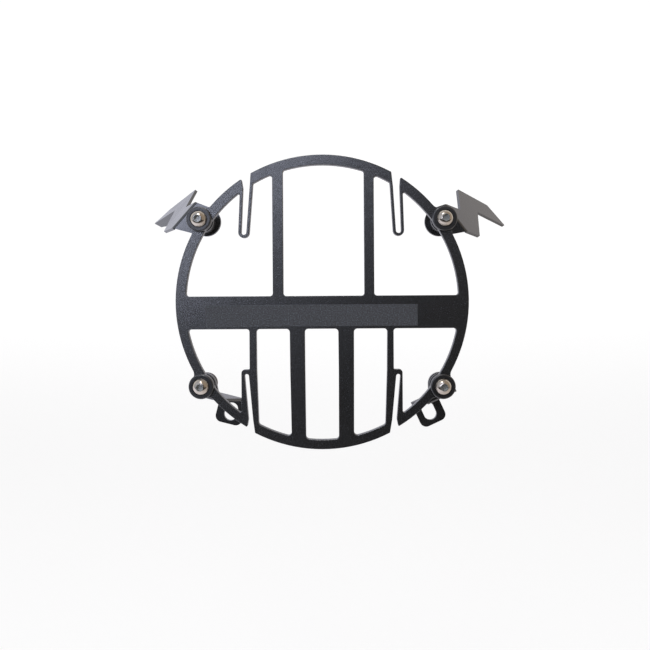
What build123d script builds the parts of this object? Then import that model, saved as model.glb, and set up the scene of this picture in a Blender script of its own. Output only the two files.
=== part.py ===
"""Guard for a round motorcycle headlight: a cut plate on four bolted stays."""
from build123d import *
import math
import os

os.makedirs("parts", exist_ok=True)

# Millimetres. X to the right seen from the front, Z up, the lamp lies towards +Y.
# The front face of the plate is Y = 0 and the lamp axis passes through the origin.

plate_thickness = 3.0
plate_edge_radius = 0.35
ring_inner_radius = 88.45
ring_width = 6.55
lower_ring_width = 6.2
lower_ring_drop = 1.0
chin_drop = 0.9

# The cross bar, the bars above it and the posts beside the lower windows.
bar_top = 3.5
bar_bottom = -17.87
upper_left_bar = (-32.05, -25.15)
upper_right_bar = (27.3, 33.8)
lower_left_side = -47.3
lower_right_side = 46.1

# The two walls of each open slot at its closed end, at the ring, where it flares, and at its mouth.
slot_walls = {
    "upper_left": {"end": (-52.2, -48.9), "knee": (-50.95, -46.65), "mouth": (-52.2, -46.1)},
    "upper_right": {"end": (48.0, 51.35), "knee": (46.25, 50.5), "mouth": (45.4, 51.1)},
    "lower_left": {"end": (-50.55, -47.75), "knee": (-48.19, -45.24), "mouth": (-49.27, -44.4)},
    "lower_right": {"end": (47.6, 50.3), "knee": (44.87, 47.9), "mouth": (43.83, 49.07)},
}
slot_depth = {"upper": 36.3, "lower": 34.2}
hairpin_strip = 1.95
hook_strip = {"left": 2.1, "right": 1.45}
hook_roof = 3.0
hook_radius = 2.2

# Left and right side of each lower window at the bar, at its bend and at the chin.
lower_windows = {
    "left": {"bar": (-42.8, -21.2), "bend": (-42.65, -21.0), "chin": (-41.0, -20.15)},
    "middle": {"bar": (-11.4, 10.25), "bend": (-11.3, 10.4), "chin": (-10.9, 10.3)},
    "right": {"bar": (20.45, 42.05), "bend": (20.35, 41.75), "chin": (20.1, 40.0)},
}
window_bend_drop = 27.0
window_radius = 2.2
upper_window_radius = 1.8
hairpin_root_radius = 1.0
hook_root_radius = 0.9
tip_radius = 0.7

bolt_angles = {
    "upper_left": 146.03,
    "upper_right": 33.73,
    "lower_left": 214.89,
    "lower_right": -35.54,
}
bolt_stand_out = 0.3
ear_wall = 2.2
ear_blend = 5.0
ear_inside_blend = 4.0

# The screw and what goes round it, from the inside out.
screw_radius = 3.0
screw_clearance = 0.2
sleeve_wall = 0.8
bush_wall = 1.5
bush_flange_radius = 8.05
bush_flange = 2.5
bush_recess = 0.4
bush_edge_radius = 0.9
head_clearance = 0.5
head_radius = 5.25
head_height = 3.3
head_rim = 0.6
head_flat_radius = 2.4
head_crown_share = 0.7
screw_tip_chamfer = 0.6
socket_across_flats = 4.0
socket_depth = 2.1
spacer_radius = 7.0
spacer_length = {"upper": 8.5, "lower": 2.5}
spacer_chamfer = 0.4
washer_radius = 6.0
washer_thickness = 1.6
nut_across_flats = 10.0
nut_height = 5.5
nut_chamfer = 0.55
nut_flange_radius = 7.1
nut_flange = 1.4
dome_radius = 4.6
dome_wall = 0.8
thread_engagement = 8.4
thread_end_gap = 0.4

stay_thickness = 2.0
stay_hole_clearance = 0.1
bend_inside_radius = 0.8

# Upper stays: the fold line from the bolt, its turn towards the lamp, and the flat strap beyond.
upper_fold = {
    "left": ((-7.24, 14.62), (-22.87, -3.05)),
    "right": ((4.55, 12.49), (18.95, -6.11)),
}
upper_turn = {"left": 60.0, "right": 52.0}
upper_end_radius = 9.9
upper_end_lift = {"left": 1.1, "right": 0.6}
strap_outline = {
    "left": [(7.8, 15.2), (-5.8, 35.1), (20.8, 68.1), (39.9, 81.8), (16.7, 43.5), (31.3, 17.5)],
    "right": [(9.2, 15.2), (-3.7, 37.9), (20.0, 69.6), (42.5, 73.5), (18.8, 41.2), (32.2, 13.2)],
}
strap_corner_radius = 0.9

# The left strap has a lip turned inwards along the lower edge of its outer tine.
lip_outline = {"left": [(1.5, 0.0), (4.0, 5.5), (22.0, 9.0)]}

# Lower stays: foot behind the plate, shelf going back to the lamp, slotted tab hanging down.
lower_clocking = {"left": 14.35, "right": 24.65}
lower_end_radius = {"left": 7.1, "right": 7.7}
foot_drop = 9.7
foot_span = {"left": (-1.0, 12.5), "right": (-8.1, 12.7)}
shelf_run = 19.0
shelf_flare = {
    "left": ((14.5, 5.4), (23.1, 15.5)),
    "right": ((13.0, 5.4), (18.6, 14.0)),
}
shelf_end = 3.0
tab_start = {"left": 8.0, "right": 2.9}
tab_width = 19.0
tab_bottom = {"left": 27.6, "right": 28.2}
tab_corner_radius = 4.5
slot_side_step = 0.45
slot_rise = {"left": 8.8, "right": 9.5}
slot_width = 8.8
slot_length = 12.8

# Sizes that follow from those above.
ring_outer_radius = ring_inner_radius + ring_width
lower_inner_radius = ring_outer_radius - lower_ring_width
reach = 2 * ring_outer_radius
bolt_circle = ring_outer_radius + bolt_stand_out
bolts = {name: (bolt_circle * math.cos(math.radians(angle)),
                bolt_circle * math.sin(math.radians(angle)))
         for name, angle in bolt_angles.items()}
screw_bore = screw_radius + screw_clearance
sleeve_radius = screw_bore + sleeve_wall
bush_waist_radius = sleeve_radius + bush_wall
ear_radius = bush_waist_radius + ear_wall
stay_hole_radius = screw_bore + stay_hole_clearance
bush_back = plate_thickness + bush_flange
head_seat = -bush_flange + bush_recess
stay_front = {level: bush_back + length for level, length in spacer_length.items()}
wide_bend_radius = bend_inside_radius + stay_thickness
square_bend_radius = 0.9 * stay_thickness


def front_face(sketch, front, back):
    """Solid of a drawn shape between two depths along Y."""
    return extrude(Plane.XZ.offset(-back) * sketch, amount=back - front)


def shape_of(points):
    """Closed flat shape through the given points."""
    return make_face(Polyline(*points, close=True))


def disc(radius, x=0.0, z=0.0):
    """Flat disc at a place in the drawing."""
    return Pos(x, z) * Circle(radius)


def height_at(x, radius):
    """Height of a circle above its centre, at x beside the centre."""
    return math.sqrt(radius ** 2 - x ** 2)


def tube(radius, bore, front, back, place):
    """Round tube on a bolt axis."""
    ring = disc(radius, *place) - disc(bore, *place)
    return front_face(ring, front, back)


def save(solid, name):
    """Write one named piece."""
    solid.label = name
    export_step(solid, f"parts/{name}.step")


def round_corners(shape, radius, keep=()):
    """Round every corner of a flat shape except those at the kept places."""
    corners = [v for v in shape.vertices()
               if all(math.hypot(v.X - x, v.Y - z) > radius / 3 for x, z in keep)]
    return fillet(corners, radius)


def round_at(shape, points, radius):
    """Round the corners of a flat shape that lie closest to the given points."""
    for x, z in points:
        corner = shape.vertices().sort_by(lambda v: math.hypot(v.X - x, v.Y - z))[0]
        shape = fillet(corner, radius)
    return shape


def tangent_point(corner, centre, radius, other):
    """Where a line from a corner touches a circle, on the side away from the other corner."""
    dx, dz = corner[0] - centre[0], corner[1] - centre[1]
    base = math.atan2(dz, dx)
    swing = math.acos(radius / math.hypot(dx, dz))
    spots = [(centre[0] + radius * math.cos(base + turn), centre[1] + radius * math.sin(base + turn))
             for turn in (swing, -swing)]
    spots.sort(key=lambda p: math.hypot(p[0] - other[0], p[1] - other[1]))
    return spots[-1]


def round_bend(stay, outside, inside, outside_radius):
    """Round the two edges of a fold, given a point near each."""
    for spot, radius in ((inside, bend_inside_radius), (outside, outside_radius)):
        edge = stay.edges().sort_by(lambda e: (e.center() - spot).length)[0]
        stay = fillet(edge, radius)
    return stay


# Guard plate.
def slot_heights(name):
    """Height of the closed end, the knee and the mouth of a slot above or below the lamp axis."""
    level = name.split("_")[0]
    middle_x = sum(slot_walls[name]["mouth"]) / 2
    mouth = height_at(middle_x, ring_outer_radius)
    end = mouth - slot_depth[level]
    if level == "upper":
        return end, height_at(middle_x, ring_inner_radius), mouth
    return -end, -height_at(middle_x, lower_inner_radius) - lower_ring_drop, -mouth


def make_slot(name, wider=0.0):
    """Slot from a round closed end to a flared mouth, carried on past the edge of the plate."""
    walls = slot_walls[name]
    end_z, knee_z, mouth_z = slot_heights(name)
    runs = []
    for wall, step in ((0, -wider), (1, wider)):
        end, knee, mouth = (walls[part][wall] + step for part in ("end", "knee", "mouth"))
        far = (2 * mouth - knee, 2 * mouth_z - knee_z)
        runs.append([Vector(end, end_z), Vector(knee, knee_z), Vector(*far)])
    left_run, right_run = ((run[1] - run[0]).normalized() for run in runs)
    sign = math.copysign(1, end_z)
    from_left = Vector(left_run.Y, -left_run.X) * sign
    from_right = Vector(-right_run.Y, right_run.X) * sign
    left_end, right_end = runs[0][0], runs[1][0]
    radius = (left_end - right_end).dot(from_right) / (1 - from_left.dot(from_right))
    centre = left_end + from_left * radius
    right_touch = centre - from_right * radius
    round_tip = centre - (left_run + right_run).normalized() * radius
    closed_end = ThreePointArc(right_touch, round_tip, left_end)
    return make_face(Polyline(*runs[0], *runs[1][:0:-1], right_touch) + closed_end)


def make_upper_window(side):
    """Window between a bar and the ring, with the hairpin round the slot left standing."""
    sign = -1 if side == "left" else 1
    bar_side = upper_left_bar[0] if side == "left" else upper_right_bar[1]
    half = Pos(bar_side + sign * reach / 2, bar_top + reach / 2) * Rectangle(reach, reach)
    window = disc(ring_inner_radius) & half
    corners = [(bar_side, bar_top), (bar_side, height_at(bar_side, ring_inner_radius)),
               (sign * height_at(bar_top, ring_inner_radius), bar_top)]
    window = round_at(window, corners, upper_window_radius)
    window = window - make_slot(f"upper_{side}", hairpin_strip)
    left, right = slot_walls[f"upper_{side}"]["knee"]
    roots = [(x, height_at(x, ring_inner_radius))
             for x in (left - hairpin_strip, right + hairpin_strip)]
    return round_at(window, roots, hairpin_root_radius)


def make_lower_side_window(side):
    """Window beside the lower windows, stepped round the hook that closes the slot."""
    sign = -1 if side == "left" else 1
    post_side = lower_left_side if side == "left" else lower_right_side
    left, right = slot_walls[f"lower_{side}"]["end"]
    end_z = slot_heights(f"lower_{side}")[0]
    hook_top = end_z + (right - left) / 2 + hook_roof
    hook_side = (left if side == "left" else right) + sign * hook_strip[side]
    half = Pos(post_side + sign * reach / 2, bar_bottom - reach / 2) * Rectangle(reach, reach)
    window = disc(lower_inner_radius, 0, -lower_ring_drop) & half
    hook = Pos(hook_side - sign * reach / 2, hook_top - reach / 2) * Rectangle(reach, reach)
    hook = round_at(hook, [(hook_side, hook_top)], hook_radius)
    window = window - hook
    ring_x = height_at(bar_bottom, lower_inner_radius)
    ring_z = -height_at(hook_side, lower_inner_radius) - lower_ring_drop
    window = round_at(window, [(post_side, bar_bottom), (sign * ring_x, bar_bottom)],
                      upper_window_radius)
    return round_at(window, [(post_side, hook_top), (hook_side, ring_z)], hook_root_radius)


def make_lower_window(sides):
    """Straight-sided window between the bar and the chin."""
    heights = {"bar": bar_bottom, "bend": bar_bottom - window_bend_drop, "chin": -ring_outer_radius}
    left_run = [(sides[part][0], z) for part, z in heights.items()]
    right_run = [(sides[part][1], z) for part, z in heights.items()]
    window = shape_of(left_run + right_run[::-1]) & disc(lower_inner_radius, 0, -lower_ring_drop)
    on_bar = window.vertices().group_by(Axis.Y)[-1]
    on_chin = [v for v in window.vertices()
               if abs(math.hypot(v.X, v.Y + lower_ring_drop) - lower_inner_radius) < 0.01]
    return fillet(on_bar + on_chin, window_radius)


def ear_corners(shape, radius, drop):
    """Corners where an ear meets a circle of the ring."""
    return [v for v in shape.vertices()
            if abs(math.hypot(v.X, v.Y + drop) - radius) < 0.01
            and any(abs(math.hypot(v.X - x, v.Y - z) - ear_radius) < 0.01
                    for x, z in bolts.values())]


middle_left = upper_left_bar[1]
middle_right = upper_right_bar[0]
middle = Pos((middle_left + middle_right) / 2, bar_top + reach / 2)
middle = middle * Rectangle(middle_right - middle_left, reach)
windows = [round_corners(disc(ring_inner_radius) & middle, upper_window_radius)]
for side in ("left", "right"):
    windows.append(make_upper_window(side))
    windows.append(make_lower_side_window(side))
for sides in lower_windows.values():
    windows.append(make_lower_window(sides))

plate = disc(ring_outer_radius)
chin_left = sum(slot_walls["lower_left"]["mouth"]) / 2
chin_right = sum(slot_walls["lower_right"]["mouth"]) / 2
chin = Pos((chin_left + chin_right) / 2, -reach / 2) * Rectangle(chin_right - chin_left, reach)
plate = plate + (disc(ring_outer_radius, 0, -chin_drop) & chin)
for place in bolts.values():
    plate = plate + disc(ear_radius, *place)
plate = fillet(ear_corners(plate, ring_outer_radius, 0.0), ear_blend)
for window in windows:
    plate = plate - window
for place in bolts.values():
    plate = plate + disc(ear_radius, *place)
plate = fillet(ear_corners(plate, ring_inner_radius, 0.0), ear_inside_blend)
plate = fillet(ear_corners(plate, lower_inner_radius, lower_ring_drop), ear_inside_blend)
for place in bolts.values():
    plate = plate - disc(bush_waist_radius, *place)
for name in slot_walls:
    plate = plate - make_slot(name)
for name in slot_walls:
    mouth_z = slot_heights(name)[2]
    plate = round_at(plate, [(x, mouth_z) for x in slot_walls[name]["mouth"]], tip_radius)
guard_plate = front_face(plate, 0.0, plate_thickness)
rims = [face.edges() for face in guard_plate.faces().filter_by(Axis.Y)]
guard_plate = fillet(rims[0] + rims[1], plate_edge_radius)
save(guard_plate, "guard_plate")


# Bolt sets.
def make_screw(place, length):
    """Domed socket screw with its head towards the front."""
    x, z = place
    crown_x = (head_radius + head_flat_radius) / 2
    crown_z = head_rim + head_crown_share * (head_height - head_rim)
    with BuildSketch(Plane.XZ) as profile:
        with BuildLine():
            rim = Line((0, 0), (head_radius, 0))
            side = Line(rim @ 1, (head_radius, head_rim))
            crown = ThreePointArc(side @ 1, (crown_x, crown_z), (head_flat_radius, head_height))
            top = Line(crown @ 1, (0, head_height))
            Line(top @ 1, (0, 0))
        make_face()
    head = revolve(profile.sketch, Axis.Z)
    socket = extrude(Pos(0, 0, head_height - socket_depth)
                     * RegularPolygon(socket_across_flats / 2, 6, major_radius=False),
                     amount=2 * socket_depth)
    shank = Pos(0, 0, -length / 2) * Cylinder(screw_radius, length)
    shank = chamfer(shank.faces().sort_by(Axis.Z)[0].edges(), screw_tip_chamfer)
    screw = head + shank - socket
    return Pos(x, head_seat, z) * Rot(90, 0, 0) * screw


def make_grommet(place):
    """Rubber bush clipped into the plate, with a flange on each face."""
    x, z = place
    front_flange = Pos(0, 0, bush_flange / 2) * Cylinder(bush_flange_radius, bush_flange)
    front_flange = fillet(front_flange.faces().sort_by(Axis.Z)[-1].edges(), bush_edge_radius)
    waist = Pos(0, 0, -plate_thickness / 2) * Cylinder(bush_waist_radius, plate_thickness)
    rear_flange = Pos(0, 0, -plate_thickness - bush_flange / 2)
    rear_flange = rear_flange * Cylinder(bush_flange_radius, bush_flange)
    rear_flange = fillet(rear_flange.faces().sort_by(Axis.Z)[0].edges(), bush_edge_radius)
    bush = front_flange + waist + rear_flange
    recess = Cylinder(head_radius + head_clearance, 2 * bush_recess)
    bush = bush - Pos(0, 0, bush_flange) * recess
    bush = bush - Cylinder(sleeve_radius, 4 * bush_back)
    return Pos(x, 0, z) * Rot(90, 0, 0) * bush


def make_nut(place, seat):
    """Domed nut, flange against the washer and dome to the rear."""
    x, z = place
    hexagon = extrude(RegularPolygon(nut_across_flats / 2, 6, major_radius=False),
                      amount=-nut_height)
    corner_radius = nut_across_flats / 2 / math.cos(math.radians(30))
    crown = Pos(0, 0, -nut_height / 2) * Cylinder(corner_radius, nut_height)
    crown = chamfer(crown.edges(), nut_chamfer)
    flange = Pos(0, 0, -nut_flange / 2) * Cylinder(nut_flange_radius, nut_flange)
    flange = chamfer(flange.faces().sort_by(Axis.Z)[0].edges(), nut_chamfer)
    neck = Pos(0, 0, -nut_height - dome_wall / 2) * Cylinder(dome_radius, dome_wall)
    ball = Pos(0, 0, -nut_height - dome_wall) * Sphere(dome_radius)
    nut = (hexagon & crown) + flange + neck + (ball & Pos(0, 0, -nut_height - dome_wall - reach / 2)
                                      * Box(reach, reach, reach))
    thread_depth = thread_engagement + thread_end_gap
    nut = nut - Pos(0, 0, -thread_depth / 2) * Cylinder(screw_radius, thread_depth)
    return Pos(x, seat, z) * Rot(90, 0, 0) * nut


for name, place in bolts.items():
    stay_face = stay_front[name.split("_")[0]]
    washer_face = stay_face + stay_thickness
    nut_face = washer_face + washer_thickness
    save(make_screw(place, nut_face + thread_engagement - head_seat), f"screw_{name}")
    save(make_grommet(place), f"grommet_{name}")
    save(tube(sleeve_radius, screw_bore, head_seat, bush_back, place), f"sleeve_{name}")
    spacer = tube(spacer_radius, screw_bore, bush_back, stay_face, place)
    rims = [e for e in spacer.edges() if e.length > math.tau * (spacer_radius + screw_bore) / 2]
    save(chamfer(rims, spacer_chamfer), f"spacer_{name}")
    save(tube(washer_radius, screw_bore, washer_face, nut_face, place), f"washer_{name}")
    save(make_nut(place, nut_face), f"nut_{name}")


# Upper stays.
def make_lip(side, origin, along, run, inward):
    """Narrow lip square to the strap, along the edge between the outer tip and the notch."""
    flat_points = [Vector(*point) for point in strap_outline[side]]
    shoulder, tip, notch = (origin + along * p.X + run * p.Y for p in flat_points[2:5])
    edge = notch - tip
    start = lip_outline[side][0][0]
    outline = lip_outline[side] + [(edge.length - start, 0.0)]
    plane = Plane(origin=tip, x_dir=edge, z_dir=edge.cross(inward))
    amount = math.copysign(stay_thickness, plane.z_dir.dot(shoulder - tip))
    return extrude(plane * shape_of(outline), amount=amount)


def make_upper_stay(side):
    """Foot on the bolt and a zigzag strap folded back along the lamp."""
    x, z = bolts[f"upper_{side}"]
    outward = -1 if side == "left" else 1
    front = stay_front["upper"]
    top, bottom = [(x + dx, z + dz) for dx, dz in upper_fold[side]]
    along = Vector(bottom[0] - top[0], 0, bottom[1] - top[1])
    span = along.length
    along = along.normalized()
    out = Vector(along.Z, 0, -along.X) * outward * math.copysign(1, along.Z)
    turn = math.radians(upper_turn[side])
    inward = out * -math.sin(turn) + Vector(0, 1, 0) * math.cos(turn)
    run = out * math.cos(turn) + Vector(0, 1, 0) * math.sin(turn)

    centre = (x, z + upper_end_lift[side])
    foot_sketch = disc(upper_end_radius, *centre)
    touch_top = tangent_point(top, centre, upper_end_radius, bottom)
    touch_bottom = tangent_point(bottom, centre, upper_end_radius, top)
    foot_sketch = foot_sketch + shape_of([top, touch_top, centre, touch_bottom, bottom])
    foot = front_face(foot_sketch, front, front + stay_thickness)

    origin = Vector(top[0], front, top[1])
    flat = shape_of([(0, 0)] + strap_outline[side] + [(span, 0)])
    flat = round_corners(flat, strap_corner_radius, [(0, 0), (span, 0)])
    plane = Plane(origin=origin, x_dir=along, z_dir=along.cross(run))
    amount = math.copysign(stay_thickness, plane.z_dir.dot(inward))
    strap = extrude(plane * flat, amount=amount)
    stay = foot + strap
    if side in lip_outline:
        stay = stay + make_lip(side, origin, along, run, inward)
    hole = disc(stay_hole_radius, x, z)
    stay = stay - front_face(hole, front - stay_thickness, front + 2 * stay_thickness)
    fold_middle = origin + along * (span / 2)
    to_inside = (Vector(0, 1, 0) + inward).normalized()
    across_fold = stay_thickness / math.cos(turn / 2)
    return round_bend(stay, fold_middle, fold_middle + to_inside * across_fold, wide_bend_radius)


for side in ("left", "right"):
    save(make_upper_stay(side), f"upper_stay_{side}")


# Lower stays.
def make_lower_stay(side):
    """Foot, shelf and slotted tab of one lower stay."""
    # Local x runs towards the middle of the guard, local y down, local z to the lamp.
    front = stay_front["lower"]
    tab_back = front + shelf_run
    tab_front = tab_back - stay_thickness
    shelf_under = foot_drop - stay_thickness
    start, end = foot_span[side]
    corners = ((start, foot_drop), (end, foot_drop))
    end_radius = lower_end_radius[side]
    touch_start = tangent_point(corners[0], (0, 0), end_radius, corners[1])
    touch_end = tangent_point(corners[1], (0, 0), end_radius, corners[0])
    foot_sketch = disc(end_radius)
    foot_sketch = foot_sketch + shape_of([(0, 0), touch_start, corners[0], corners[1], touch_end])
    foot = extrude(Pos(0, 0, front) * foot_sketch, amount=stay_thickness)

    tab_left = tab_start[side]
    tab_right = tab_left + tab_width
    flare = [(across, front + behind) for across, behind in shelf_flare[side]]
    shelf_sketch = shape_of([(start, front), (end, front)] + flare
                            + [(tab_right, tab_back - shelf_end), (tab_right, tab_back),
                               (tab_left, tab_back)])
    shelf_plane = Plane(origin=(0, shelf_under, 0), x_dir=(1, 0, 0), z_dir=(0, -1, 0))
    shelf = extrude(shelf_plane * shelf_sketch, amount=-stay_thickness)

    bottom = tab_bottom[side]
    middle = (tab_left + tab_right) / 2
    tab_sketch = Pos(middle, (bottom + shelf_under) / 2) * Rectangle(tab_width, bottom - shelf_under)
    tab_sketch = fillet(tab_sketch.vertices().group_by(Axis.Y)[-1], tab_corner_radius)
    slot = SlotOverall(slot_length, slot_width)
    slot = Pos(middle + slot_side_step, bottom - slot_rise[side]) * Rot(0, 0, 90) * slot
    tab = extrude(Pos(0, 0, tab_front) * (tab_sketch - slot), amount=stay_thickness)

    stay = foot + shelf + tab
    stay = stay - Pos(0, 0, front) * Cylinder(stay_hole_radius, 4 * stay_thickness)
    foot_middle = (start + end) / 2
    stay = round_bend(stay, Vector(foot_middle, foot_drop, front),
                      Vector(foot_middle, shelf_under, front + stay_thickness), square_bend_radius)
    stay = round_bend(stay, Vector(middle, shelf_under, tab_back),
                      Vector(middle, foot_drop, tab_front), square_bend_radius)

    x, z = bolts[f"lower_{side}"]
    towards = 1 if side == "left" else -1
    clock = math.radians(lower_clocking[side])
    x_dir = Vector(math.cos(clock), 0, -towards * math.sin(clock))
    down = Vector(-towards * math.sin(clock), 0, -math.cos(clock))
    if side == "right":
        stay = mirror(stay, about=Plane.YZ)
    return Plane(origin=(x, 0, z), x_dir=x_dir, z_dir=x_dir.cross(down)) * stay


for side in ("left", "right"):
    save(make_lower_stay(side), f"lower_stay_{side}")
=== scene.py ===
"""Looks of the headlight guard: finishes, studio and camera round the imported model."""
import logging
import math
from abc import ABC, abstractmethod
from dataclasses import dataclass
from enum import Enum
from typing import NamedTuple

import bmesh
import bpy
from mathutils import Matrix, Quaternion, Vector


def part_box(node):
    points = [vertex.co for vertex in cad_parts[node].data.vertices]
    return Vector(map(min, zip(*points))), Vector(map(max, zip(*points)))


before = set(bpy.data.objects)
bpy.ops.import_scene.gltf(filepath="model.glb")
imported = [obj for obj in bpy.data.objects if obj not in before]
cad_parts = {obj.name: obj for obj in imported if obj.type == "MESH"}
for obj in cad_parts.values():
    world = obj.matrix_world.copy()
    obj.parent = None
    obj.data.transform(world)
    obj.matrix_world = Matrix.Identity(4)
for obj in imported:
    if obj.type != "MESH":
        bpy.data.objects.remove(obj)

logging.basicConfig(level=logging.INFO, format="%(name)s: %(message)s")
log = logging.getLogger("headlight_guard")

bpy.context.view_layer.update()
MM = 0.001

Triple = tuple[float, float, float]
Colour = tuple[float, float, float, float]
Span = tuple[float, float]
NodeSocket = bpy.types.NodeSocket

WHOLE: Span = (0.0, 1.0)
WHITE: Colour = (1.0, 1.0, 1.0, 1.0)
# The dark end of the studio, in front of the guard.
DARK_FRONT: Colour = (0.045, 0.042, 0.040, 1.0)
# A cool grey gains this much more in blue than it loses in red.
BLUE_GAIN = 1.6


def grey(value: float, blue: float = 0.0) -> Colour:
    """Gives a linear grey, with its red lowered and its blue raised by a share."""
    return (value * (1 - blue), value, value * (1 + BLUE_GAIN * blue), 1.0)


class Piece(Enum):
    """Node names, or the first words of them, by the kind of piece."""

    PLATE = "guard_plate"
    UPPER_STAY = "upper_stay"
    LOWER_STAY = "lower_stay"
    SCREW = "screw"
    NUT = "nut"
    WASHER = "washer"
    SLEEVE = "sleeve"
    SPACER = "spacer"
    GROMMET = "grommet"


def nodes_of(piece: Piece) -> list[bpy.types.Object]:
    """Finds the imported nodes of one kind, in order of name."""
    names = sorted(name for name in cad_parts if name.startswith(piece.value))
    return [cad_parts[name] for name in names]


class Wiring:
    """Places nodes in a tree and links them by socket."""

    # The Mix node holds sockets for every type of data, and these are the colour's.
    MIX_FACTOR = 0
    MIX_FIRST = 6
    MIX_SECOND = 7
    MIX_RESULT = 2

    def __init__(self, tree: bpy.types.NodeTree) -> None:
        """Keeps the tree and clears it."""
        self.tree = tree
        self.tree.nodes.clear()

    def feed(self, target: NodeSocket, value: object) -> None:
        """Links an output to an input, or sets the input to a plain value.

        Args:
            target: The input.
            value: An output socket, or a plain value.
        """
        if isinstance(value, NodeSocket):
            self.tree.links.new(value, target)
        else:
            target.default_value = value

    def add(self, kind: str, links: dict[str | int, object] | None = None,
            **values: object) -> bpy.types.Node:
        """Adds a node, sets its properties and feeds its inputs.

        Args:
            kind: The Blender name of the node type.
            links: Input name or number to an output socket or to a plain value.
            **values: Properties of the node.

        Returns:
            The new node.
        """
        node = self.tree.nodes.new(kind)
        for name, value in values.items():
            setattr(node, name, value)
        for name, value in (links or {}).items():
            self.feed(node.inputs[name], value)
        return node

    def math(self, operation: str, first: object, second: object,
             clamp: bool = False) -> NodeSocket:
        """Works on two sockets or numbers, and can hold the result between 0 and 1."""
        links = {0: first, 1: second}
        return self.add("ShaderNodeMath", links, operation=operation, use_clamp=clamp).outputs[0]

    def raised(self, value: NodeSocket, mask: NodeSocket, extra: float) -> NodeSocket:
        """Raises a value by a number where a mask is 1."""
        return self.math("ADD", value, self.math("MULTIPLY", mask, extra))

    def ramp(self, value: NodeSocket, span: Span, to: Span = WHOLE) -> NodeSocket:
        """Maps a value smoothly from one range to another.

        Args:
            value: The socket to map.
            span: Values that give the first and the last result. The first may be the larger.
            to: First and last result.

        Returns:
            The output socket.
        """
        links = {"Value": value, "From Min": span[0], "From Max": span[1],
                 "To Min": to[0], "To Max": to[1]}
        node = self.add("ShaderNodeMapRange", links, interpolation_type="SMOOTHSTEP")
        return node.outputs["Result"]

    def mix(self, share: NodeSocket, first: object, second: object) -> NodeSocket:
        """Mixes two colours by the share of the second."""
        links = {self.MIX_FACTOR: share, self.MIX_FIRST: first, self.MIX_SECOND: second}
        return self.add("ShaderNodeMix", links, data_type="RGBA").outputs[self.MIX_RESULT]

    def mix_shaders(self, share: NodeSocket, first: bpy.types.Node,
                    second: bpy.types.Node) -> bpy.types.Node:
        """Mixes two shaders by the share of the second."""
        links = {0: share, 1: first.outputs[0], 2: second.outputs[0]}
        return self.add("ShaderNodeMixShader", links)

    def axes(self, place: NodeSocket) -> bpy.types.NodeOutputs:
        """Splits coordinates, or a direction, into X, Y and Z."""
        return self.add("ShaderNodeSeparateXYZ", {0: place}).outputs

    def vector_math(self, operation: str, first: NodeSocket, second: Triple) -> bpy.types.Node:
        """Works on a vector socket and a plain vector."""
        return self.add("ShaderNodeVectorMath", {0: first, 1: second}, operation=operation)

    def noise(self, place: NodeSocket, scale: NodeSocket, detail: float,
              roughness: float = 0.5) -> NodeSocket:
        """Adds a noise with levels from 0 to 1."""
        links = {"Vector": place, "Scale": scale, "Detail": detail, "Roughness": roughness}
        return self.add("ShaderNodeTexNoise", links).outputs["Fac"]

    def seen_by_eye(self, path: bpy.types.Node) -> NodeSocket:
        """Makes a switch from a Light Path node, 1 for the camera, also through glass."""
        rays = path.outputs
        return self.math("ADD", rays["Is Camera Ray"], rays["Is Transmission Ray"], clamp=True)


class SocketKind(Enum):
    """Kinds of socket that a shader group has."""

    NUMBER = "NodeSocketFloat"
    VECTOR = "NodeSocketVector"


def new_group(name: str, numbers: tuple[str, ...], results: tuple[str, ...]
              ) -> tuple[Wiring, bpy.types.NodeOutputs, bpy.types.NodeInputs]:
    """Starts a shader node group that takes a vector and numbers and puts out numbers.

    Args:
        name: Name of the group.
        numbers: Names of the numbers that it takes.
        results: Names of the numbers that it puts out.

    Returns:
        The wiring of the group, the sockets that it is given and those that it puts out.
    """
    tree = bpy.data.node_groups.new(name, "ShaderNodeTree")
    new_socket = tree.interface.new_socket
    new_socket("Vector", in_out="INPUT", socket_type=SocketKind.VECTOR.value)
    for label in numbers:
        new_socket(label, in_out="INPUT", socket_type=SocketKind.NUMBER.value)
    for label in results:
        new_socket(label, in_out="OUTPUT", socket_type=SocketKind.NUMBER.value)
    wiring = Wiring(tree)
    given = wiring.add("NodeGroupInput").outputs
    return wiring, given, wiring.add("NodeGroupOutput").inputs


@dataclass(frozen=True, kw_only=True)
class GrainGroup:
    """Shader group of a sprayed or moulded skin.

    It puts out the height of fine grains on softer lumps, the grains as a mask, the grains
    that stand highest as another mask, and a slow drift over the surface.
    """

    grain_detail: float = 1.0
    drift_detail: float = 3.0
    grain_span: Span = (0.38, 0.62)
    peak_span: Span = (0.62, 0.74)
    drift_span: Span = (0.3, 0.7)

    def build(self) -> bpy.types.NodeTree:
        """Builds the group.

        Returns:
            The node tree of the group.
        """
        wiring, given, out = new_group(
            "skin_grain", ("Grain Scale", "Lump Scale", "Drift Scale", "Lump Share"),
            ("Height", "Grains", "Peaks", "Drift"))
        place = given["Vector"]
        grains = wiring.noise(place, given["Grain Scale"], self.grain_detail)
        drift = wiring.noise(place, given["Drift Scale"], self.drift_detail)
        links = {"Vector": place, "Scale": given["Lump Scale"]}
        lumps = wiring.add("ShaderNodeTexVoronoi", links, feature="SMOOTH_F1")
        rounded = wiring.math("SUBTRACT", 1.0, lumps.outputs["Distance"])
        lump_part = wiring.math("MULTIPLY", rounded, given["Lump Share"])
        wiring.feed(out["Height"], wiring.math("ADD", grains, lump_part))
        wiring.feed(out["Grains"], wiring.ramp(grains, self.grain_span))
        wiring.feed(out["Peaks"], wiring.ramp(grains, self.peak_span))
        wiring.feed(out["Drift"], wiring.ramp(drift, self.drift_span))
        return wiring.tree


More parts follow.
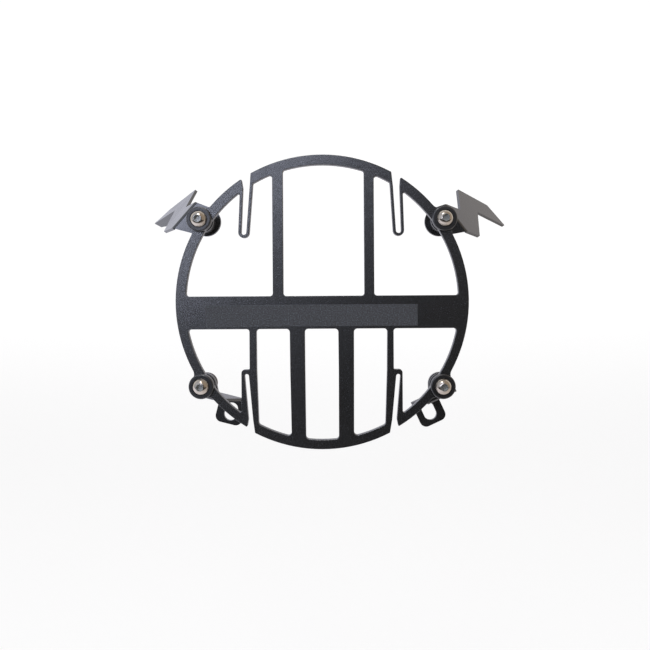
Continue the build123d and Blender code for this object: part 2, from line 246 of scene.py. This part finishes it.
@dataclass(frozen=True, kw_only=True)
class SmearGroup:
    """Shader group of handled, machined metal.

    It puts out fine marks, drawn out along the bolts' axes, which lie along Y, and smears.
    """

    squeeze: Triple = (1.0, 0.04, 1.0)
    mark_detail: float = 1.0
    smear_detail: float = 4.0
    smear_roughness: float = 0.6
    smear_span: Span = (0.35, 0.7)

    def build(self) -> bpy.types.NodeTree:
        """Builds the group.

        Returns:
            The node tree of the group.
        """
        wiring, given, out = new_group("turned_smear", ("Mark Scale", "Smear Scale"),
                                       ("Marks", "Smears"))
        place = given["Vector"]
        squeezed = wiring.vector_math("MULTIPLY", place, self.squeeze).outputs["Vector"]
        marks = wiring.noise(squeezed, given["Mark Scale"], self.mark_detail)
        smears = wiring.noise(place, given["Smear Scale"], self.smear_detail,
                              self.smear_roughness)
        wiring.feed(out["Marks"], marks)
        wiring.feed(out["Smears"], wiring.ramp(smears, self.smear_span))
        return wiring.tree


class Groups:
    """The shader groups that the finishes share, built once."""

    grain: bpy.types.NodeTree
    smear: bpy.types.NodeTree

    @classmethod
    def build(cls) -> None:
        """Builds every group."""
        cls.grain = GrainGroup().build()
        cls.smear = SmearGroup().build()


def start_material(name: str) -> tuple[bpy.types.Material, Wiring, NodeSocket]:
    """Starts a material with object coordinates.

    Args:
        name: Name of the material.

    Returns:
        The material, its wiring and the socket of the coordinates, in metres.
    """
    material = bpy.data.materials.new(name)
    material.use_nodes = True
    wiring = Wiring(material.node_tree)
    return material, wiring, wiring.add("ShaderNodeTexCoord").outputs["Object"]


def close_material(wiring: Wiring, shader: bpy.types.Node) -> None:
    """Links a shader to the material's output."""
    wiring.add("ShaderNodeOutputMaterial", {"Surface": shader.outputs[0]})


@dataclass(frozen=True, kw_only=True)
class Grain:
    """Values of the grain group in one finish, with the scales in cells to a metre."""

    scale: float
    lump_scale: float = 0.0
    drift_scale: float = 0.0
    lump_share: float = 0.0

    def put_in(self, wiring: Wiring, place: NodeSocket) -> bpy.types.NodeOutputs:
        """Places the grain group in a material and gives what it puts out."""
        links = {"Vector": place, "Grain Scale": self.scale, "Lump Scale": self.lump_scale,
                 "Drift Scale": self.drift_scale, "Lump Share": self.lump_share}
        return wiring.add("ShaderNodeGroup", links, node_tree=Groups.grain).outputs


@dataclass(frozen=True, kw_only=True)
class Relief:
    """Bumps made from a height: how strongly they show, and how deep they are in metres."""

    strength: float
    depth: float

    def normal(self, wiring: Wiring, height: NodeSocket) -> NodeSocket:
        """Makes the normal of the bumps."""
        links = {"Height": height, "Strength": self.strength, "Distance": self.depth}
        return wiring.add("ShaderNodeBump", links).outputs["Normal"]


class Surface(NamedTuple):
    """What varies over a finish."""

    colour: NodeSocket
    roughness: NodeSocket
    normal: NodeSocket


@dataclass(frozen=True, kw_only=True)
class Finish(ABC):
    """A procedural finish. Each kind of finish wires its own surface."""

    name: str
    gloss_index: float = 1.5
    metallic: float = 0.0

    @abstractmethod
    def wire(self, wiring: Wiring, place: NodeSocket) -> Surface:
        """Wires what varies over the surface, from the coordinates in metres."""

    def build(self) -> bpy.types.Material:
        """Builds the material.

        Returns:
            The material, ready to use.
        """
        material, wiring, place = start_material(self.name)
        surface = self.wire(wiring, place)
        links = {"Base Color": surface.colour, "Roughness": surface.roughness,
                 "Normal": surface.normal, "IOR": self.gloss_index,
                 "Metallic": self.metallic}
        close_material(wiring, wiring.add("ShaderNodeBsdfPrincipled", links))
        return material


@dataclass(frozen=True, kw_only=True)
class PaleField:
    """A plain field on the front of the bar, paler and duller than the coat round it."""

    left: float = -75.5 * MM
    right: float = 61.6 * MM
    low: float = -16.1 * MM
    high: float = -2.2 * MM
    soft_edge: float = 0.25 * MM
    back: float = 1.0 * MM
    soft_back: float = 0.2 * MM
    dark: Colour = grey(0.010, 0.12)
    pale: Colour = grey(0.066, 0.15)
    spark: Colour = grey(0.150, 0.15)
    grain: Grain = Grain(scale=1250.0)
    extra_roughness: float = 0.52

    def mask(self, wiring: Wiring, place: NodeSocket) -> NodeSocket:
        """Builds a mask that is 1 inside the field.

        Args:
            wiring: The wiring of the material.
            place: The coordinates, in metres.

        Returns:
            The mask.
        """
        axes = wiring.axes(place)
        edge = self.soft_edge
        mask = wiring.ramp(axes["Y"], (self.back + self.soft_back, self.back - self.soft_back))
        for axis, low, high in (("X", self.left, self.right), ("Z", self.low, self.high)):
            for span in ((low - edge, low + edge), (high + edge, high - edge)):
                mask = wiring.math("MULTIPLY", mask, wiring.ramp(axes[axis], span))
        return mask

    def tone(self, wiring: Wiring, place: NodeSocket) -> NodeSocket:
        """Builds the field's speckled colour.

        Args:
            wiring: The wiring of the material.
            place: The coordinates, in metres.

        Returns:
            The colour.
        """
        grain = self.grain.put_in(wiring, place)
        speckled = wiring.mix(grain["Grains"], self.dark, self.pale)
        return wiring.mix(grain["Peaks"], speckled, self.spark)


@dataclass(frozen=True, kw_only=True)
class TexturedCoat(Finish):
    """Black powder coat with a fine dry grain, as on the cut plate."""

    name: str = "textured_coat"
    gloss_index: float = 2.2
    dark: Colour = grey(0.021, 0.03)
    # Partly the grain's own paler tone, partly painted glints: the highest grains are painted
    # paler and bluer, as if the cool key light caught their tops.
    peak_tone_and_glint: Colour = grey(0.085, 0.10)
    roughness: Span = (0.17, 0.23)
    grain: Grain = Grain(scale=1600.0, lump_scale=1280.0, drift_scale=18.0, lump_share=0.3)
    relief: Relief = Relief(strength=1.0, depth=0.12 * MM)
    field: PaleField = PaleField()

    def wire(self, wiring: Wiring, place: NodeSocket) -> Surface:
        """Wires the grainy coat and the paler field in it.

        Args:
            wiring: The wiring of the material.
            place: The coordinates, in metres.

        Returns:
            The colour, roughness and normal.
        """
        grain = self.grain.put_in(wiring, place)
        # Painted glints: the highest grains take the paler, bluer colour all over the plate,
        # partly grain tone and partly painted highlight.
        coat = wiring.mix(grain["Peaks"], self.dark, self.peak_tone_and_glint)
        rough = wiring.ramp(grain["Drift"], WHOLE, self.roughness)
        mask = self.field.mask(wiring, place)
        colour = wiring.mix(mask, coat, self.field.tone(wiring, place))
        rough = wiring.raised(rough, mask, self.field.extra_roughness)
        return Surface(colour, rough, self.relief.normal(wiring, grain["Height"]))


@dataclass(frozen=True, kw_only=True)
class EvenSkin(Finish):
    """Smooth black skin, sprayed or moulded, with a slight peel and a slow drift."""

    fresh: Colour
    worn: Colour
    roughness: Span
    grain: Grain
    relief: Relief

    def wire(self, wiring: Wiring, place: NodeSocket) -> Surface:
        """Wires the skin.

        Args:
            wiring: The wiring of the material.
            place: The coordinates, in metres.

        Returns:
            The colour, roughness and normal.
        """
        grain = self.grain.put_in(wiring, place)
        colour = wiring.mix(grain["Drift"], self.fresh, self.worn)
        rough = wiring.ramp(grain["Drift"], WHOLE, self.roughness)
        return Surface(colour, rough, self.relief.normal(wiring, grain["Height"]))


@dataclass(frozen=True, kw_only=True)
class HexagonSockets:
    """Inside of the screws' hexagon sockets, pressed and not polished."""

    reach: float = 2.45 * MM
    soft_edge: float = 0.15 * MM
    tone: Colour = (0.62, 0.63, 0.60, 1.0)
    extra_roughness: float = 0.30

    def mask(self, wiring: Wiring, place: NodeSocket) -> NodeSocket:
        """Builds a mask that is 1 near the axis of each screw.

        Args:
            wiring: The wiring of the material.
            place: The coordinates, in metres.

        Returns:
            The mask.
        """
        flat = wiring.vector_math("MULTIPLY", place, (1.0, 0.0, 1.0)).outputs["Vector"]
        nearest = None
        for screw in nodes_of(Piece.SCREW):
            low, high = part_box(screw.name)
            axis = ((low[0] + high[0]) / 2, 0.0, (low[2] + high[2]) / 2)
            away = wiring.vector_math("DISTANCE", flat, axis).outputs["Value"]
            nearest = away if nearest is None else wiring.math("MINIMUM", nearest, away)
        return wiring.ramp(nearest, (self.reach + self.soft_edge, self.reach - self.soft_edge))


@dataclass(frozen=True, kw_only=True)
class Stainless(Finish):
    """Stainless steel, polished or plain, with fine marks and soft smears."""

    bright: Colour
    dull: Colour
    roughness: Span
    metallic: float = 1.0
    mark_scale: float = 2600.0
    smear_scale: float = 420.0
    relief: Relief = Relief(strength=0.12, depth=0.01 * MM)
    sockets: HexagonSockets | None = None

    def wire(self, wiring: Wiring, place: NodeSocket) -> Surface:
        """Wires the steel, with the sockets' inside on the screws.

        Args:
            wiring: The wiring of the material.
            place: The coordinates, in metres.

        Returns:
            The colour, roughness and normal.
        """
        links = {"Vector": place, "Mark Scale": self.mark_scale,
                 "Smear Scale": self.smear_scale}
        smear = wiring.add("ShaderNodeGroup", links, node_tree=Groups.smear).outputs
        colour = wiring.mix(smear["Smears"], self.bright, self.dull)
        rough = wiring.ramp(smear["Smears"], WHOLE, self.roughness)
        if self.sockets:
            mask = self.sockets.mask(wiring, place)
            colour = wiring.mix(mask, colour, self.sockets.tone)
            rough = wiring.raised(rough, mask, self.sockets.extra_roughness)
        return Surface(colour, rough, self.relief.normal(wiring, smear["Marks"]))


def dress(piece: Piece, material: bpy.types.Material) -> None:
    """Gives every node of a kind its finish.

    Args:
        piece: The kind of piece.
        material: The finish.
    """
    for node in nodes_of(piece):
        if not node.material_slots:
            node.data.materials.append(material)
        for slot in node.material_slots:
            slot.material = material
        log.info("%s dressed in %s", node.name, material.name)


@dataclass(frozen=True, kw_only=True)
class GuardPlate:
    """The cut plate: ring, bars and the sprung hooks beside the open slots."""

    coat: TexturedCoat = TexturedCoat()

    def build(self) -> None:
        """Dresses the plate."""
        dress(Piece.PLATE, self.coat.build())


@dataclass(frozen=True, kw_only=True)
class Stays:
    """The folded stays that carry the plate."""

    coat: EvenSkin = EvenSkin(
        name="satin_coat", gloss_index=2.1, roughness=(0.20, 0.26),
        fresh=grey(0.018, 0.04), worn=grey(0.024, 0.04),
        grain=Grain(scale=1100.0, lump_scale=1100.0, drift_scale=30.0, lump_share=0.2),
        relief=Relief(strength=0.35, depth=0.05 * MM))

    def build(self) -> None:
        """Dresses the four stays."""
        material = self.coat.build()
        dress(Piece.UPPER_STAY, material)
        dress(Piece.LOWER_STAY, material)


@dataclass(frozen=True, kw_only=True)
class BoltSets:
    """Screw, bush, sleeve, spacer, washer and nut at each corner."""

    screw_steel: Stainless = Stainless(
        name="screw_stainless", roughness=(0.14, 0.24), sockets=HexagonSockets(),
        bright=(0.64, 0.575, 0.495, 1.0), dull=(0.56, 0.50, 0.43, 1.0))
    nut_steel: Stainless = Stainless(
        name="nut_stainless", roughness=(0.16, 0.28),
        bright=(0.68, 0.63, 0.57, 1.0), dull=(0.60, 0.55, 0.49, 1.0))
    plain_steel: Stainless = Stainless(
        name="plain_stainless", roughness=(0.28, 0.40),
        bright=(0.66, 0.64, 0.61, 1.0), dull=(0.56, 0.54, 0.52, 1.0))
    rubber: EvenSkin = EvenSkin(
        name="black_rubber", gloss_index=2.0, roughness=(0.34, 0.42),
        fresh=grey(0.006, 0.03), worn=grey(0.010, 0.03),
        grain=Grain(scale=1500.0, lump_scale=450.0, drift_scale=90.0, lump_share=0.3),
        relief=Relief(strength=0.4, depth=0.03 * MM))
    nylon: EvenSkin = EvenSkin(
        name="black_spacer", gloss_index=2.1, roughness=(0.30, 0.38),
        fresh=grey(0.014, 0.04), worn=grey(0.022, 0.04),
        grain=Grain(scale=900.0, lump_scale=270.0, drift_scale=90.0, lump_share=0.3),
        relief=Relief(strength=0.4, depth=0.015 * MM))

    def build(self) -> None:
        """Dresses the four bolt sets."""
        plain = self.plain_steel.build()
        dress(Piece.SCREW, self.screw_steel.build())
        dress(Piece.NUT, self.nut_steel.build())
        dress(Piece.WASHER, plain)
        dress(Piece.SLEEVE, plain)
        dress(Piece.GROMMET, self.rubber.build())
        dress(Piece.SPACER, self.nylon.build())


def put_in_scene(item: bpy.types.Object) -> None:
    """Links a new object to the scene."""
    bpy.context.scene.collection.objects.link(item)


@dataclass(frozen=True, kw_only=True)
class PhotoCamera:
    """The camera at the eye, looking square at the plate, with lengths in metres."""

    image_width: float = 650.0
    focal_pixels: float = 448.4
    axis_pixel: Span = (338.0, 299.5)
    sensor_millimetres: float = 36.0
    nearest: float = 0.01
    eye: Triple = (0.01052, -0.290, 0.0007)
    roll_degrees: float = 0.35

    def build(self) -> None:
        """Builds the camera and makes it the scene's."""
        data = bpy.data.cameras.new("camera")
        data.sensor_width = self.sensor_millimetres
        data.lens = self.focal_pixels / self.image_width * self.sensor_millimetres
        middle = (self.image_width - 1) / 2
        data.shift_x = (middle - self.axis_pixel[0]) / self.image_width
        data.shift_y = (self.axis_pixel[1] - middle) / self.image_width
        data.clip_start = self.nearest
        camera = bpy.data.objects.new("camera", data)
        camera.location = self.eye
        camera.rotation_euler = (math.radians(90), math.radians(self.roll_degrees), 0)
        put_in_scene(camera)
        bpy.context.scene.camera = camera


@dataclass(frozen=True, kw_only=True)
class Panel:
    """One soft rectangular lamp, with its size in metres and its power in watts."""

    name: str
    place: Triple
    size: Span
    power: float
    colour: Triple
    turn_degrees: float = 0.0

    def build(self) -> None:
        """Builds the lamp, turned towards the guard."""
        data = bpy.data.lights.new(self.name, "AREA")
        data.shape = "RECTANGLE"
        data.size, data.size_y = self.size
        data.energy = self.power
        data.color = self.colour
        lamp = bpy.data.objects.new(self.name, data)
        lamp.location = self.place
        aim = (-Vector(self.place)).to_track_quat("-Z", "Y")
        turn = Quaternion((0, 0, 1), math.radians(self.turn_degrees))
        lamp.rotation_euler = (aim @ turn).to_euler()
        put_in_scene(lamp)
        log.info("lamp %s", self.name)


@dataclass(frozen=True, kw_only=True)
class Sweep:
    """White paper floor, curved up into the backdrop, with lengths in metres.

    Other surfaces get plain paper's light from it. The eye sees it white with the guard's
    shadow, and reflections see it white too, cooler to the left and dark in front.
    """

    floor_height: float = -0.45
    half_width: float = 2.6
    back: float = 1.3
    top: float = 2.6
    bend_radius: float = 0.6
    bend_steps: int = 12
    dark_to_white: Span = (-0.52, -0.34)
    cool_to_warm: Span = (-0.6, 0.6)
    cool_white: Colour = (1.0, 1.01, 1.14, 1.0)
    warm_white: Colour = (0.64, 0.60, 0.59, 1.0)
    paper: Colour = grey(0.80)
    shadow_paper: Colour = grey(0.30)
    glow: Span = (0.82, 0.93)
    glow_top: float = 0.1

    def finish(self) -> bpy.types.Material:
        """Builds the sweep's material.

        Returns:
            The material.
        """
        material, wiring, place = start_material("sweep")
        path = wiring.add("ShaderNodeLightPath")
        axes = wiring.axes(place)
        side = wiring.ramp(axes["X"], self.cool_to_warm)
        white = wiring.mix(side, self.cool_white, self.warm_white)
        depth = wiring.ramp(axes["Y"], self.dark_to_white)
        links = {"Color": wiring.mix(depth, DARK_FRONT, white)}
        mirrored = wiring.add("ShaderNodeEmission", links)
        paper = wiring.add("ShaderNodeBsdfDiffuse", {"Color": self.paper})
        given_back = wiring.mix_shaders(path.outputs["Is Glossy Ray"], paper, mirrored)
        shadow = wiring.add("ShaderNodeBsdfDiffuse", {"Color": self.shadow_paper})
        strength = wiring.ramp(axes["Z"], (self.floor_height, self.glow_top), self.glow)
        glow = wiring.add("ShaderNodeEmission", {"Color": WHITE, "Strength": strength})
        links = {0: shadow.outputs[0], 1: glow.outputs[0]}
        seen = wiring.add("ShaderNodeAddShader", links)
        close_material(wiring, wiring.mix_shaders(wiring.seen_by_eye(path), given_back, seen))
        return material

    def profile(self) -> list[Span]:
        """Works out the sweep's section.

        Returns:
            Y and Z of each point, from the front of the floor to the top of the backdrop.
        """
        radius = self.bend_radius
        points = [(-self.half_width, self.floor_height)]
        for step in range(self.bend_steps + 1):
            turn = math.radians(90) * step / self.bend_steps
            points.append((self.back - radius + radius * math.sin(turn),
                           self.floor_height + radius * (1 - math.cos(turn))))
        points.append((self.back, self.top))
        return points

    def build(self) -> None:
        """Builds the sweep."""
        mesh = bpy.data.meshes.new("sweep")
        shape = bmesh.new()
        rows = [[shape.verts.new((side * self.half_width, y, z)) for side in (-1, 1)]
                for y, z in self.profile()]
        for low, high in zip(rows, rows[1:]):
            shape.faces.new((low[0], low[1], high[1], high[0])).smooth = True
        shape.to_mesh(mesh)
        shape.free()
        sweep = bpy.data.objects.new("sweep", mesh)
        put_in_scene(sweep)
        mesh.materials.append(self.finish())


@dataclass(frozen=True, kw_only=True)
class Surround:
    """The light from all round: a bright back, tinted walls and a dark front.

    The spans are shares of a direction, along Y for the first two and along X for the last.
    """

    dark_to_walls: Span = (-0.93, -0.62)
    walls_to_bright: Span = (-0.20, 0.45)
    cool_to_warm: Span = (-0.5, 0.5)
    cool_wall: Colour = (0.50, 0.53, 0.60, 1.0)
    warm_wall: Colour = (0.40, 0.34, 0.28, 1.0)
    bright_back: Colour = grey(0.95)

    def build(self) -> None:
        """Builds the world, which the eye sees as plain white."""
        world = bpy.data.worlds.new("studio")
        world.use_nodes = True
        bpy.context.scene.world = world
        wiring = Wiring(world.node_tree)
        axes = wiring.axes(wiring.add("ShaderNodeTexCoord").outputs["Generated"])
        side = wiring.ramp(axes["X"], self.cool_to_warm)
        walls = wiring.mix(side, self.cool_wall, self.warm_wall)
        beside = wiring.ramp(axes["Y"], self.dark_to_walls)
        front = wiring.mix(beside, DARK_FRONT, walls)
        behind = wiring.ramp(axes["Y"], self.walls_to_bright)
        around = wiring.mix(behind, front, self.bright_back)
        light = wiring.add("ShaderNodeBackground", {"Color": around})
        white = wiring.add("ShaderNodeBackground", {"Color": WHITE})
        seen = wiring.seen_by_eye(wiring.add("ShaderNodeLightPath"))
        mixed = wiring.mix_shaders(seen, light, white)
        wiring.add("ShaderNodeOutputWorld", {"Surface": mixed.outputs[0]})


@dataclass(frozen=True, kw_only=True)
class Studio:
    """Camera, sweep, surrounding light and lamps."""

    camera: PhotoCamera = PhotoCamera()
    sweep: Sweep = Sweep()
    surround: Surround = Surround()
    panels: tuple[Panel, ...] = (
        Panel(name="key_strip", place=(-0.262, -0.80, 0.325), size=(0.9, 0.11), power=1.0,
              colour=(0.75, 0.80, 1.0), turn_degrees=45.0),
        Panel(name="key_spill", place=(-0.280, -0.81, 0.340), size=(1.2, 1.00), power=1.0,
              colour=(0.75, 0.81, 1.0), turn_degrees=45.0),
        Panel(name="top_panel", place=(-0.14, -0.45, 0.72), size=(0.22, 0.16), power=1.2,
              colour=(1.0, 0.97, 0.93)),
    )

    def build(self) -> None:
        """Builds the studio."""
        for item in (self.camera, self.sweep, self.surround, *self.panels):
            item.build()
        bpy.context.scene.view_settings.view_transform = "Standard"


def main() -> None:
    """Builds the studio and dresses each sub-assembly."""
    Groups.build()
    Studio().build()
    GuardPlate().build()
    Stays().build()
    BoltSets().build()


if __name__ == "__main__":
    main()
